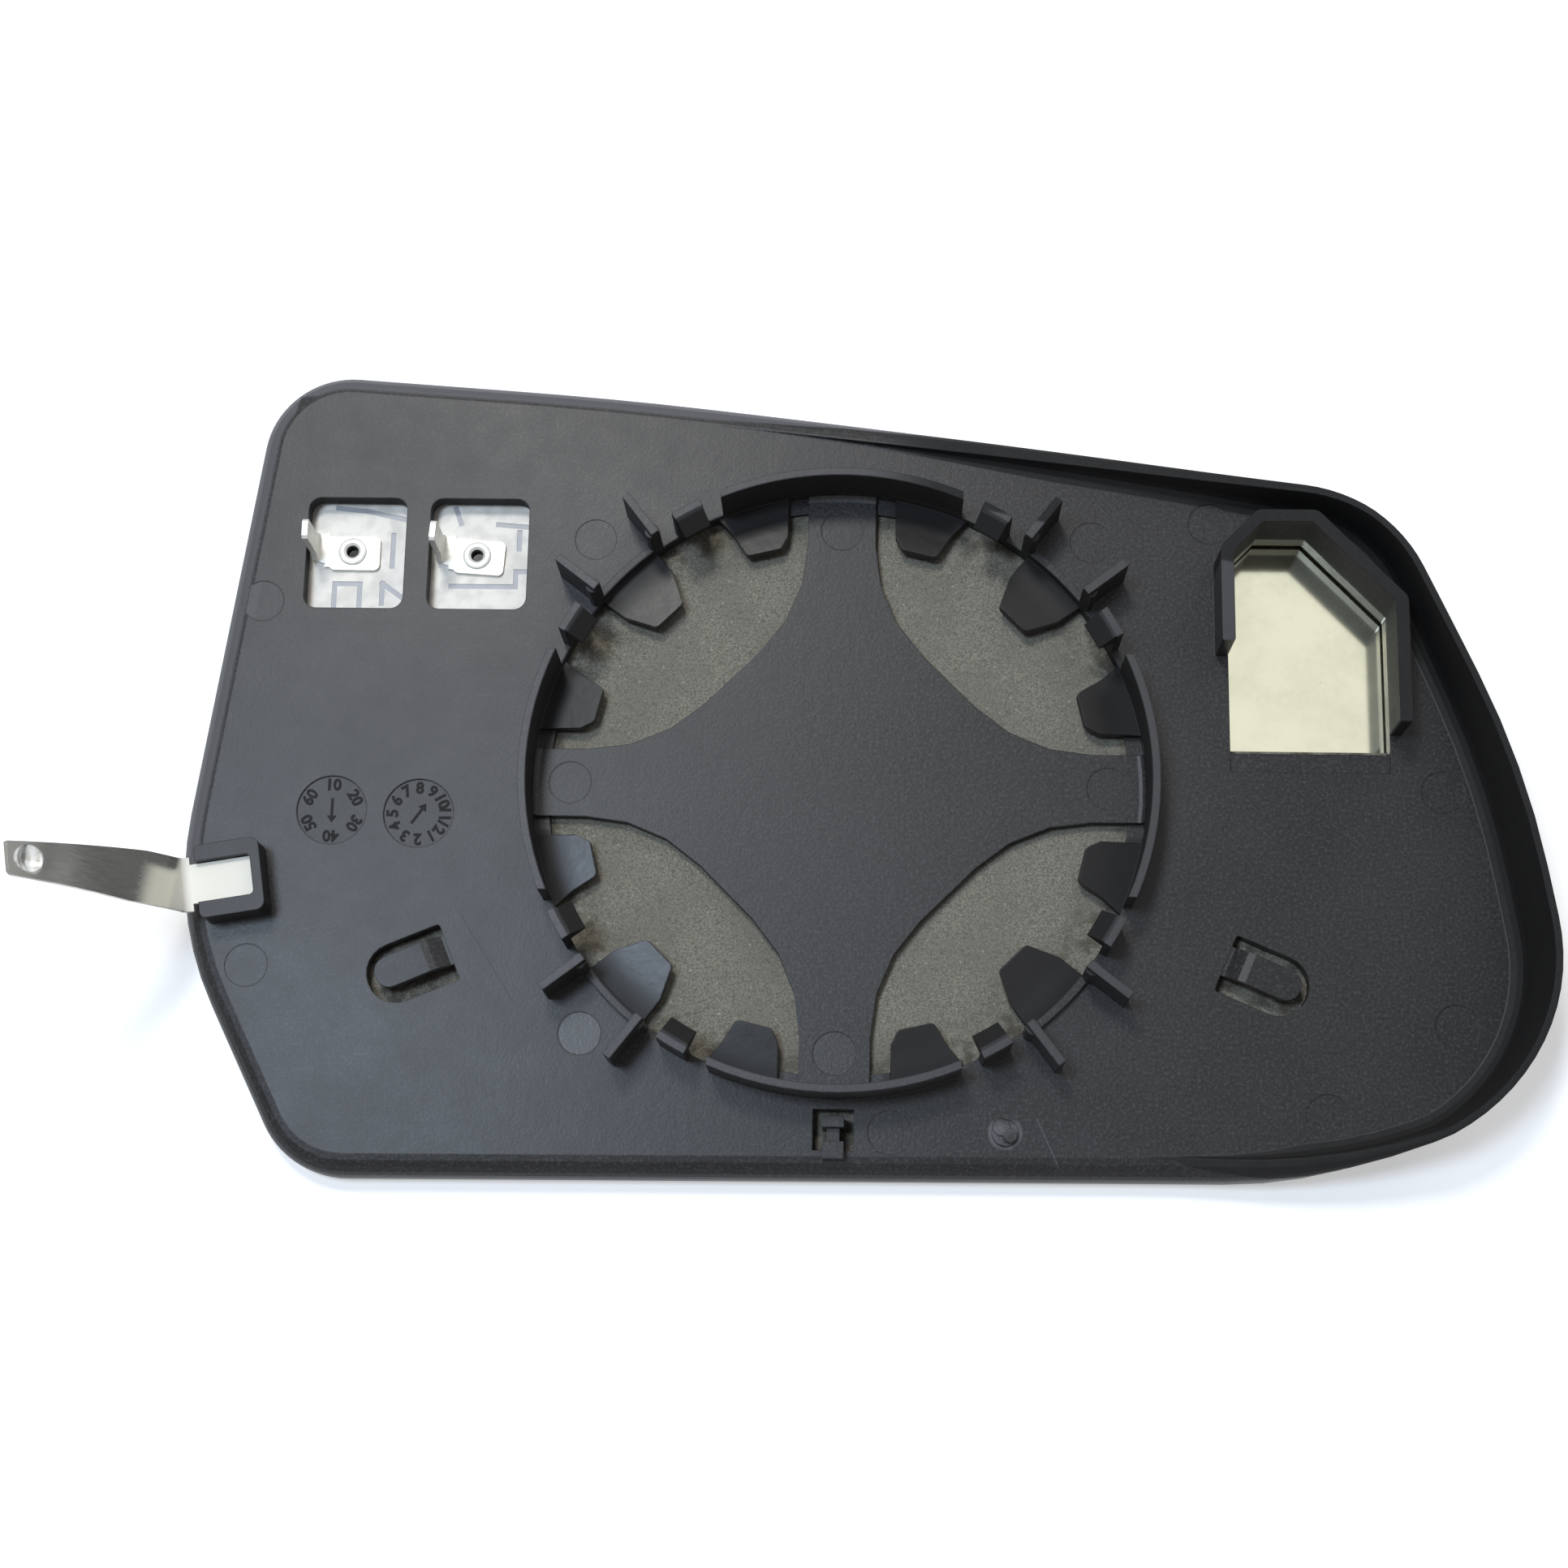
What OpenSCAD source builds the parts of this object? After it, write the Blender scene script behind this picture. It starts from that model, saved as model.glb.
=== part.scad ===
// Heated glass unit of a car door mirror, seen from the back.
// The backing plate lies flat with the mirror glass under it. The origin is on the axis of the
// actuator collar, at the level of the plate's back face. +Z points out of the back.

/* [Plate] */
// Width of the backing plate at the foot of its edge
plate_w = 178; // [174:1:190]
// Height of the backing plate at the foot of its edge
plate_h = 111.3; // [109:0.1:118]
// Thickness of the plate's floor
plate_t = 2.4; // [1.8:0.1:3]
// Radius of the rounded-over edge
edge_r = 3; // [2:0.1:3.5]
// How far the rim reaches below the plate's back face
rim_depth = 4.8; // [4.5:0.1:6]
// Wall of the rim that holds the glass
rim_wall = 1.5; // [1.2:0.1:2]

/* [Skirt] */
// Height of the raised skirt at its highest point
skirt_peak = 11; // [6:0.5:14]
// Length along the outline in which the skirt fades out over the top edge
skirt_run_top = 155; // [130:1:170]
// Length along the outline in which the skirt fades out over the bottom edge
skirt_run_bottom = 64; // [50:1:80]
// Wall of the skirt where it is tall
skirt_wall = 1; // [0.8:0.1:1.6]
// Lean of the skirt away from the plate
skirt_lean = 7; // [0:1:14]
// Fillet at the foot of the skirt
skirt_fillet = 1.6; // [0.5:0.1:2]

/* [Collar] */
// Inner radius of the collar that the actuator snaps into
collar_r = 41.05; // [39:0.05:42]
// Wall of the collar
collar_wall = 1.05; // [0.9:0.05:1.6]
// Height of the collar above the plate
collar_h = 7.4; // [6:0.1:9]
// Half the width of each of the four long wall segments
segment_half = 16.3; // [14:0.1:17]
// Height of the low lip between the fins
lip_h = 1; // [0.5:0.1:2]
// Angle between each quadrant's diagonal and its hooks
hook_angle = 15; // [13:0.5:16]
// Width of a hook along the collar
hook_w = 4.2; // [3:0.1:5]
// How far a hook reaches inside the collar
hook_reach = 2.4; // [1.5:0.1:3]
// Angle between each quadrant's diagonal and its fins
fin_angle = 7.5; // [6.5:0.5:8]
// Outer radius of the fins
fin_r = 47.8; // [45:0.1:48.5]
// Thickness of a fin
fin_t = 1.1; // [0.8:0.1:1.6]

/* [Star web] */
// Level of the web's back face
web_z = -0.8; // [-1:0.1:-0.5]
// Half the width of each arm of the web
arm_half = 4.65; // [3.5:0.05:5.5]
// Distance of the web's slanted sides from the axis, along X or Y
web_reach = 29.4; // [26:0.1:31]
// Radius where the slanted sides run into the arms
web_fillet = 22; // [8:1:24]
// Fillet between the arms and the collar
foot_fillet = 0.9; // [0.4:0.1:1.2]

/* [Tongues] */
// Thickness of the tongues under the actuator
tongue_t = 1.1; // [0.8:0.1:1.3]
// Radius that the tongues reach in to
tongue_r = 32.7; // [31:0.1:36]
// Width of a tongue at its root
tongue_root_w = 10.2; // [8:0.1:10.4]
// Width of a tongue at its tip
tongue_tip_w = 4.9; // [4:0.1:6]
// Gap between an arm of the web and the tongue beside it
tongue_arm_gap = 2.7; // [2:0.1:3.5]
// Rise of the tongues towards their tips
tongue_rise = 8.5; // [0:0.5:12]

/* [Indicator frame] */
// Left side of the frame
frame_left = 50.5; // [49.5:0.1:51]
// Right side of the frame
frame_right = 75.1; // [74:0.1:76]
// Top of the frame
frame_top = 36.7; // [35:0.1:37.5]
// Wall of the frame
frame_wall = 1.7; // [1.2:0.1:2.2]
// Height of the frame above the plate
frame_h = 7.4; // [5:0.1:9]
// Where the frame's left wall ends
frame_left_end = 18.4; // [15:0.1:22]
// Where the frame's right wall ends
frame_right_end = 7.6; // [6:0.1:12]
// Bottom of the window in the plate
frame_sill = 5; // [4:0.1:6]
// Height of the shallow ledge under the window
ledge_h = 2.6; // [1.5:0.1:3]
// Depth of the shallow ledge
ledge_depth = 0.5; // [0.3:0.1:0.8]

/* [Terminal windows] */
// Width of each window
window_w = 13.6; // [12.5:0.1:14]
// Height of each window
window_h = 15.9; // [15:0.1:17]
// Corner radius of each window
window_r = 1.7; // [1:0.1:2.5]
// Centre of the left window from the collar's axis
window_x = -66.7; // [-67.5:0.1:-66]
// Distance between the two windows
window_pitch = 16.9; // [16.5:0.1:17.5]
// Centre of both windows above the collar's axis
window_y = 31.9; // [31:0.1:33]

/* [Sprung tabs] */
// Distance of each tab's root from the collar's axis, along X
tab_x = 51; // [50:0.1:53]
// Distance of each tab's root below the collar's axis
tab_y = 23.4; // [22:0.1:25]
// Slope of the tabs
tab_tilt = 23; // [15:1:30]
// Width of the opening round each tab
tab_w = 8; // [7:0.1:9]
// Length of the opening round each tab
tab_l = 11.4; // [10:0.1:13]
// Gap on the upper side of the tab
tab_gap_up = 1.65; // [1:0.05:2]
// Gap on the lower side of the tab
tab_gap_down = 2.2; // [1:0.1:2.4]
// Gap at the tab's free end
tab_end_gap = 1.2; // [0.8:0.1:2]
// Height that the tab rises to above the plate
tab_rise = 1.35; // [0:0.05:2]
// Thickness of the tab
tab_t = 1.3; // [0.8:0.1:1.6]

/* [Retaining spring] */
// Thickness of the spring strip
spring_t = 0.5; // [0.3:0.05:0.7]
// Width of the strip in its holder
spring_tongue_w = 5.3; // [4:0.1:6]
// Width of the strip at the bend
spring_w = 7.3; // [6:0.1:8]
// Width of the strip at its free end
spring_tip_w = 4.2; // [3:0.1:6]
// Length of the raised blade
spring_l = 31; // [24:0.5:34]
// Rise of the blade where it leaves the bend
spring_rise = 70; // [60:1:78]
// Radius of the blade's long curve
spring_curve_r = 118; // [80:1:200]
// Inner radius of the bend
spring_bend_r = 1.2; // [0.8:0.1:2]
// Turn of the spring and its holder about Z
spring_turn = 9.8; // [6:0.1:12]
// Radius of the dimple near the free end
dimple_r = 1.9; // [1.2:0.1:2.2]
// Depth of the dimple
dimple_depth = 0.8; // [0.4:0.1:1.2]

/* [Glass and heater] */
// Thickness of the foam pad
pad_t = 0.5; // [0.3:0.1:0.8]
// Thickness of the heater's foil
track_t = 0.1; // [0.08:0.01:0.15]
// Thickness of the heater's film
film_t = 0.25; // [0.2:0.05:0.35]
// Thickness of the mirror glass
glass_t = 2; // [1.8:0.1:2.4]
// Clearance between the glass and the rim
glass_clearance = 0.3; // [0.2:0.05:0.6]
// Gap that divides the foil into its tracks
foil_gap = 0.7; // [0.5:0.1:1]

/* [Terminals] */
// Thickness of the terminals' sheet metal
terminal_t = 0.5; // [0.4:0.05:0.6]
// Length of the terminal's body
terminal_l = 7.9; // [7:0.1:8.5]
// Width of the terminal's body
terminal_w = 4.9; // [4.5:0.1:5.5]
// Width of the upright blade
blade_w = 2.8; // [2.4:0.1:3.2]
// Height of the upright blade from the body's underside
blade_h = 8.8; // [6:0.1:11]
// Radius of the hole through the rivet
rivet_hole_r = 0.85; // [0.6:0.05:1]
// Radius of the rivet's flange
rivet_flange_r = 1.95; // [1.5:0.05:2.1]

/* [Hidden] */

$fn = 96;
cut = 1;
sink = 0.05;
plastic = "#2b2c31";
steel = "#c9c6ba";
silver = "#e2e2e0";

// Corners of the plate as [x, y, radius], counter-clockwise from the top left
nominal_w = 178;
nominal_h = 111.3;
corner_scale = min(plate_w / nominal_w, plate_h / nominal_h);
outline_corners = [
    for (c = [
        [-79.25, 59.05, 12], [-89.1, -18.35, 44], [-71.2, -53.05, 12.3], [63.65, -51.7, 58.8],
        [93, -37.8, 25.6], [86.9, 0.7, 120], [72.1, 37.85, 19.3], [-1.05, 53.55, 640]
    ])
    [c[0] * plate_w / nominal_w, c[1] * plate_h / nominal_h, c[2] * corner_scale]
];

function unit(v) = v / norm(v);
function right_of(v) = [v[1], -v[0]];
function turned(v, a) = [v[0] * cos(a) - v[1] * sin(a), v[0] * sin(a) + v[1] * cos(a)];
function mix(a, b, k) = a + (b - a) * k;

// Points of one rounded corner c between its neighbours a and b, as [point, outward normal]
function corner_arc(a, c, b, step) =
    let (
        u = unit([c[0] - a[0], c[1] - a[1]]),
        w = unit([b[0] - c[0], b[1] - c[1]]),
        turn = atan2(u[0] * w[1] - u[1] * w[0], u * w),
        side = sign(turn),
        run = c[2] * tan(abs(turn) / 2),
        start = [c[0], c[1]] - u * run,
        centre = start - side * c[2] * right_of(u),
        steps = c[2] == 0 ? 0 : ceil(abs(turn) / min(step, longest_side * 180 / (PI * c[2])))
    )
    steps == 0
        ? [[start, unit(right_of(u) + right_of(w))]]
        : [
            for (k = [0:steps])
            let (normal = turned(right_of(u), turn * k / steps))
            [centre + side * c[2] * normal, normal]
        ];

// Longest straight side in a curve of the plate's outline
longest_side = 7;

// A closed outline with rounded corners, as [point, outward normal]
function rounded(corners, step = 5) =
    let (n = len(corners))
    [for (i = [0:n - 1]) each corner_arc(corners[(i + n - 1) % n], corners[i], corners[(i + 1) % n], step)];

// The same outline with its long straights divided
function divided(outline, longest) =
    let (n = len(outline))
    [
        for (i = [0:n - 1])
        let (a = outline[i], b = outline[(i + 1) % n], parts = max(1, ceil(norm(b[0] - a[0]) / longest)))
        for (k = [0:parts - 1])
        [mix(a[0], b[0], k / parts), unit(mix(a[1], b[1], k / parts))]
    ];

// Plain points of an outline, moved inwards
function inset(outline, d) = [for (q = outline) q[0] - d * q[1]];

// Plain points of a closed shape with rounded corners
function rounded_points(corners, step = 15) = [for (q = rounded(corners, step)) q[0]];

plate_outline = divided(rounded(outline_corners), longest_side);
outline_n = len(plate_outline);

// Distance along the outline up to each of its points
outline_length = [
    for (
        i = 0, s = 0;
        i <= outline_n;
        s = s + norm(plate_outline[(i + 1) % outline_n][0] - plate_outline[i % outline_n][0]), i = i + 1
    )
    s
];
full_length = outline_length[outline_n];
rightmost = max([for (q = plate_outline) q[0][0]]);
peak_at = [for (i = [0:outline_n - 1]) if (plate_outline[i][0][0] == rightmost) outline_length[i]][0];

// Height of the skirt at outline point i: a smooth swell that fades out on both sides of its peak
function skirt_height(i) =
    let (
        ahead = outline_length[i] - peak_at,
        along = abs(ahead) > full_length / 2 ? ahead - sign(ahead) * full_length : ahead,
        run = along > 0 ? skirt_run_top : skirt_run_bottom
    )
    abs(along) >= run ? 0 : skirt_peak * (1 + cos(180 * along / run)) / 2;

// Where the rim meets the flat floor, well inside the outline
joint_inset = 5;
skirt_grown_h = 7;
edge_angles = [0, 18, 36, 52, 66, 79, 90];

// Section of the rim where the skirt is h high, as [distance inside the outline, level]
function rim_section(h) =
    let (
        grown = min(1, h / skirt_grown_h),
        inner = mix(edge_r, skirt_wall, grown),
        top = inner - 0.12 - 0.63 * skirt_wall * grown,
        drop = mix(edge_r, 0.3, grown),
        fillet = min(skirt_fillet, 0.7 * h),
        foot = 0.15 + fillet,
        lean = tan(skirt_lean) * grown
    )
    concat(
        [[joint_inset, 0]],
        [
            for (
                q = concat(
                    [
                        [inner + 0.1 + foot, 0],
                        [inner + 0.1 + 0.5 * foot, 0.134 * fillet],
                        [inner + 0.1 + 0.134 * foot, 0.5 * fillet],
                        [inner + 0.1, fillet],
                        [inner, h]
                    ],
                    [for (t = edge_angles) [top * (1 - sin(t)), h - drop * (1 - cos(t))]]
                )
            )
            [q[0] - lean * max(0, q[1] + edge_r), q[1]]
        ],
        [
            [0, -edge_r - 0.5],
            [0, 0.3 - rim_depth],
            [0.3, -rim_depth],
            [rim_wall - 0.2, -rim_depth],
            [rim_wall, 0.2 - rim_depth],
            [rim_wall, -plate_t],
            [joint_inset, -plate_t]
        ]
    );

// The rounded edge, the rim round the glass and the leaning skirt, in one closed band
module plate_rim() {
    sections = [for (i = [0:outline_n - 1]) rim_section(skirt_height(i))];
    m = len(sections[0]);
    points = [
        for (i = [0:outline_n - 1])
        for (s = sections[i])
        let (p = plate_outline[i][0] - s[0] * plate_outline[i][1])
        [p[0], p[1], s[1]]
    ];
    faces = [
        for (i = [0:outline_n - 1])
        for (j = [0:m - 1])
        let (
            i2 = (i + 1) % outline_n,
            j2 = (j + 1) % m,
            a = i * m + j,
            b = i2 * m + j,
            c = i2 * m + j2,
            d = i * m + j2
        )
        each [[a, b, c], [a, c, d]]
    ];
    polyhedron(points, faces);
}

module plate_floor() {
    translate([0, 0, -plate_t])
        linear_extrude(plate_t)
            polygon(inset(plate_outline, joint_inset));
}

// A prism of rounded corners [x, y, radius] between two levels
module prism(corners, low, high) {
    translate([0, 0, low])
        linear_extrude(high - low)
            polygon(rounded_points(corners));
}

module four_ways() {
    for (a = [0:90:270])
        rotate(a)
            children();
}

module two_sided() {
    children();
    mirror([1, 0, 0])
        children();
}

// Everything that stands round the actuator's opening, before the opening is bored
module collar_blank() {
    four_ways() {
        intersection() {
            cylinder(r = collar_r + collar_wall, h = collar_h);
            translate([-segment_half, 0, -cut])
                cube([2 * segment_half, 2 * collar_r, collar_h + 2 * cut]);
        }
        rotate(45) {
            lip_sweep = 2 * (fin_angle - 1);
            rotate(-lip_sweep / 2)
                arc_wall(lip_sweep, lip_h);
            for (side = [-1, 1]) {
                rotate(side * hook_angle - hook_sweep / 2)
                    arc_wall(hook_sweep, collar_h);
                rotate(side * fin_angle)
                    fin();
            }
        }
    }
}

hook_sweep = hook_w / (collar_r + collar_wall / 2) * 180 / PI;

// A stretch of collar wall from angle 0, with a foot in the plate
module arc_wall(sweep, h) {
    rotate_extrude(angle = sweep)
        translate([collar_r - 0.5, -plate_t / 2])
            square([collar_wall + 0.5, h + plate_t / 2]);
}

post_r = 1;
post_drop = 1.2;

// A radial fin with a lower round post at its inner end
module fin() {
    translate([collar_r - 0.5, -fin_t / 2, -plate_t / 2])
        cube([fin_r - collar_r + 0.5, fin_t, collar_h + plate_t / 2]);
    translate([collar_r + 0.8 * post_r, 0, -plate_t / 2])
        cylinder(r = post_r, h = collar_h - post_drop + plate_t / 2);
}

barb_tip_drop = 1.9;
barb_undercut = 3;
barb_sweep = hook_sweep - 0.2;

// The barb of one hook, with its lead-in slope above and its catch below
module barb() {
    rotate(-barb_sweep / 2)
        rotate_extrude(angle = barb_sweep)
            polygon([
                [collar_r + 0.3, collar_h - 0.05],
                [collar_r - 0.1, collar_h - 0.05],
                [collar_r - hook_reach, collar_h - barb_tip_drop],
                [collar_r - hook_reach, collar_h - barb_tip_drop - 0.4],
                [collar_r, collar_h - barb_undercut],
                [collar_r + 0.3, collar_h - barb_undercut]
            ]);
}

// Outline of the open quadrant between two arms of the web
quadrant_corners = [
    [arm_half, 2 * collar_r, 0],
    [arm_half, web_reach - arm_half, web_fillet],
    [web_reach - arm_half, arm_half, web_fillet],
    [2 * collar_r, arm_half, 0],
    [2 * collar_r, 2 * collar_r, 0]
];

// The star-shaped web that carries the middle of the glass
module star_web() {
    difference() {
        translate([0, 0, -plate_t])
            cylinder(r = collar_r + collar_wall / 2, h = plate_t + web_z);
        four_ways() {
            prism(quadrant_corners, -plate_t - cut, web_z + cut);
            translate([web_mark_r, 0, web_z - mark_depth])
                cylinder(r = mark_r, h = cut);
        }
    }
    four_ways() {
        intersection() {
            rotate_extrude()
                polygon(foot_section());
            translate([-arm_half, 0, -plate_t])
                cube([2 * arm_half, 2 * collar_r, 2 * plate_t]);
        }
        two_sided()
            rotate(gap_ledge_from)
                rotate_extrude(angle = gap_ledge_sweep)
                    translate([collar_r - gap_ledge_w, gap_ledge_low])
                        square([gap_ledge_w + 0.3, gap_ledge_h]);
    }
}

// The low ledge along the collar between an arm and the tongue beside it
gap_ledge_w = 2.1;
gap_ledge_h = 0.5;
gap_ledge_low = 0.3 - plate_t;
gap_ledge_from = 90 - asin((arm_half + tongue_arm_gap + 0.6) / collar_r);
gap_ledge_sweep = asin((tongue_arm_gap + 1.2) / collar_r);

// Section of the hollow fillet between an arm and the collar
function foot_section() = concat(
    [[collar_r + 0.3, web_z - 0.3], [collar_r - foot_fillet, web_z - 0.3]],
    [
        for (t = [0:30:90])
        [collar_r - foot_fillet * (1 - sin(t)), web_z + foot_fillet * (1 - cos(t))]
    ],
    [[collar_r + 0.3, web_z + foot_fillet]]
);

root_r = collar_r + collar_wall / 2;
tongue_corner_r = 0.8;
tongue_shoulder = 3;

// Outline of the tongue on a quadrant's diagonal, pointing in along -X
diagonal_tongue = [
    [root_r * cos(7), tongue_root_w / 2, 0],
    [tongue_r + tongue_shoulder + 1.2, tongue_root_w / 2 - 0.6, tongue_corner_r],
    [tongue_r, tongue_tip_w / 2, tongue_corner_r],
    [tongue_r, -tongue_tip_w / 2, tongue_corner_r],
    [tongue_r + tongue_shoulder + 1.2, 0.6 - tongue_root_w / 2, tongue_corner_r],
    [root_r * cos(7), -tongue_root_w / 2, 0]
];

// Outline of the tongue beside the web's upper arm, on its right
side_x = arm_half + tongue_arm_gap;
side_tongue = [
    [side_x, root_r * cos(11), 0],
    [side_x, tongue_r + 2.1, 0],
    [side_x + 0.9, tongue_r + 0.2, tongue_corner_r],
    [side_x + 5.5, tongue_r - 0.9, tongue_corner_r],
    [side_x + 7.6, tongue_r + 2.4, tongue_corner_r],
    [side_x + tongue_root_w - 0.3, root_r * cos(25), 0]
];

// Turns its children up about the line between points a and b at the web's level
module risen(a, b) {
    line = atan2(b[1] - a[1], b[0] - a[0]);
    translate([a[0], a[1], web_z])
        rotate(line)
            rotate([-tongue_rise, 0, 0])
                rotate(-line)
                    translate([-a[0], -a[1], -web_z])
                        children();
}

// Twelve thin tongues between the web's arms, three to each quadrant, that rise to their tips
module tongues() {
    low = web_z - tongue_t;
    last_side = side_tongue[len(side_tongue) - 1];
    last_diagonal = diagonal_tongue[len(diagonal_tongue) - 1];
    four_ways() {
        two_sided()
            risen(side_tongue[0], last_side)
                prism(side_tongue, low, web_z);
        rotate(45)
            risen(diagonal_tongue[0], last_diagonal)
                prism(diagonal_tongue, low, web_z);
    }
}

// Outer corners of the indicator's frame, from the left wall's end round to the right wall's end
frame_outer = [
    [frame_left, frame_left_end, 0.3],
    [frame_left, frame_top - 5.1, 1.5],
    [frame_left + 5, frame_top, 1.5],
    [frame_right - 11.6, frame_top, 1.5],
    [frame_right, frame_top - 12, 1.5],
    [frame_right, frame_right_end, 0.3]
];

// Corner i of the frame's inner face: the outer corner moved in by the wall on both sides
function frame_inner(i, wall) =
    let (
        c = frame_outer[i],
        a = frame_outer[i - 1],
        b = frame_outer[i + 1],
        na = unit(right_of([c[0] - a[0], c[1] - a[1]])),
        nb = unit(right_of([b[0] - c[0], b[1] - c[1]])),
        bisector = unit(na + nb)
    )
    [
        c[0] + bisector[0] * wall / (bisector * na),
        c[1] + bisector[1] * wall / (bisector * na),
        0.4
    ];

frame_inner_corners = [for (i = [1:4]) frame_inner(i, frame_wall)];

// The three-sided wall that shrouds the indicator lamp
module indicator_frame() {
    prism(
        concat(
            frame_outer,
            [[frame_right - frame_wall, frame_right_end, 0.3]],
            [for (i = [3:-1:0]) frame_inner_corners[i]],
            [[frame_left + frame_wall, frame_left_end, 0.3]]
        ),
        -plate_t / 2, frame_h
    );
}

// Window under the indicator lamp, grown by d, which is negative in the pad
function frame_window(d, sill) = concat(
    [for (i = [1:4]) frame_inner(i, frame_wall - d)],
    [
        [frame_right - frame_wall + d, sill, 0.4],
        [frame_left + frame_wall - d, sill, 0.4]
    ]
);

function window_corners(x, grow = 0) = [
    for (c = [[-1, -1], [1, -1], [1, 1], [-1, 1]])
    [x + c[0] * (window_w / 2 + grow), window_y + c[1] * (window_h / 2 + grow), window_r]
];

window_centres = [window_x, window_x + window_pitch];

module in_tab_frame() {
    translate([tab_x, -tab_y, 0])
        rotate(-tab_tilt)
            children();
}

// The opening that frees a sprung tab, with a round end
module tab_opening() {
    half = tab_w / 2;
    in_tab_frame()
        prism(
            [[0, -half, 0.4], [tab_l, -half, half - 0.1], [tab_l, half, half - 0.1], [0, half, 0.4]],
            -plate_t - cut, cut
        );
}

tab_root = 0.6;
tab_free = tab_l - tab_end_gap;
tab_knee = 3.2;

// Upper edge of a tab from its root to its free end, as [distance from the root, level]
tab_back = [
    [-tab_root, -sink], [0.4, -sink], [2.2, 0.88 * tab_rise], [tab_knee, tab_rise],
    [4.4, 0.93 * tab_rise], [tab_free + cut, 0.65 * tab_rise]
];

// The sprung tab itself, bent up out of the plate
module sprung_tab() {
    side = tab_w / 2;
    low = tab_gap_down - side;
    high = side - tab_gap_up;
    round_end = (high - low) / 2 - 0.1;
    in_tab_frame()
        intersection() {
            prism(
                [
                    [-tab_root, low, 0], [tab_free, low, round_end],
                    [tab_free, high, round_end], [-tab_root, high, 0]
                ],
                -plate_t, 2 * plate_t
            );
            translate([0, side, 0])
                rotate([90, 0, 0])
                    linear_extrude(tab_w)
                        polygon(concat(
                            tab_back,
                            [for (k = [len(tab_back) - 1:-1:0]) [tab_back[k][0], tab_back[k][1] - tab_t]]
                        ));
        }
}

clip_y = -43.4;
clip_hole = 5.3;
clip_neck_w = 1.7;
clip_head_w = 2.8;
clip_neck_rise = 1;
clip_head_rise = 2;

// The two heads of the catch, as [distance of the lower side below the hole's top, length]
clip_heads = [[2.5, 1.5], [6.5, 2.2]];

module clip_hole_cut() {
    translate([-clip_hole / 2, clip_y - clip_hole, -plate_t - cut])
        cube([clip_hole, clip_hole, plate_t + 2 * cut]);
}

// The small T-shaped catch that stands in the hole under the collar
module wire_clip() {
    translate([-clip_neck_w / 2, clip_y - clip_hole - 1.2, -plate_t])
        cube([clip_neck_w, clip_hole + 0.2, plate_t + clip_neck_rise]);
    for (head = clip_heads)
        translate([-clip_head_w / 2, clip_y - head[0], -plate_t])
            cube([clip_head_w, head[1], plate_t + clip_head_rise]);
}

holder_h = 4.6;
holder_floor = 3;
holder_l = 8.6;
holder_w = 9.9;
holder_wall = 1.3;

// The spring's own frame: origin at the bend, X along the tongue into the holder
spring_at = [-85, -15.55];

module in_spring_frame() {
    translate([spring_at[0], spring_at[1], 0])
        rotate(spring_turn)
            children();
}

holder_start = 0.9;
pocket_w = spring_tongue_w + 0.2;

// The raised holder on the plate that grips the spring's tongue
module spring_holder() {
    in_spring_frame()
        difference() {
            prism(
                [
                    [holder_start, -holder_w / 2, 0.8],
                    [holder_start + holder_l, -holder_w / 2, 1.2],
                    [holder_start + holder_l, holder_w / 2, 1.2],
                    [holder_start, holder_w / 2, 0.8]
                ],
                -plate_t / 2, holder_h
            );
            prism(
                [
                    [-cut, -pocket_w / 2, 0],
                    [holder_start + holder_l - holder_wall, -pocket_w / 2, 0.6],
                    [holder_start + holder_l - holder_wall, pocket_w / 2, 0.6],
                    [-cut, pocket_w / 2, 0]
                ],
                holder_floor, holder_h + cut
            );
        }
}

mark_r = 2.85;
mark_depth = 0.06;
floor_marks = [
    [-33.4, -34], [-77.9, -25.6], [-33.7, 34.1], [33.9, 34.3], [50, 37.1],
    [-79, 24.8], [7.3, -46.3], [63.8, -43.3], [80.2, -0.1], [80.8, -31.4]
];
web_mark_r = 36;
dial_at = [[-67.8, -4.4], [-56.1, -4.7]];
dial_r = 4.7;
dial_depth = 0.24;

// The round marks that ejector pins leave on the floor, and the sunk faces of two date dials
module moulding_marks() {
    for (p = floor_marks)
        translate([p[0], p[1], -mark_depth])
            cylinder(r = mark_r, h = cut);
    for (p = dial_at)
        translate([p[0], p[1], -dial_depth])
            cylinder(r = dial_r, h = cut);
}

gate_at = [22.2, -46.1];

// Stubs of the torn-off sprue, as [x, y, radius, height]
gate_stubs = [[0, 0, 1.7, 0.35], [-0.5, 0.7, 1.1, 0.6], [0.6, -0.4, 0.9, 0.75]];

module gate_mark() {
    for (s = gate_stubs)
        translate([gate_at[0] + s[0], gate_at[1] + s[1], -plate_t / 2])
            cylinder(r1 = s[2] + 0.3, r2 = s[2], h = s[3] + plate_t / 2, $fn = 24);
}

// Everything that is cut through or into the plate
module plate_cuts() {
    moulding_marks();
    translate([0, 0, -plate_t - cut])
        cylinder(r = collar_r, h = collar_h + plate_t + 2 * cut);
    for (x = window_centres)
        prism(window_corners(x), -plate_t - cut, cut);
    prism(frame_window(0, frame_sill), -plate_t - cut, cut);
    translate([frame_left + frame_wall, frame_sill - ledge_h, -ledge_depth])
        cube([frame_right - frame_left - 2 * frame_wall, ledge_h + 0.5, cut]);
    two_sided()
        tab_opening();
    clip_hole_cut();
}

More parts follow.
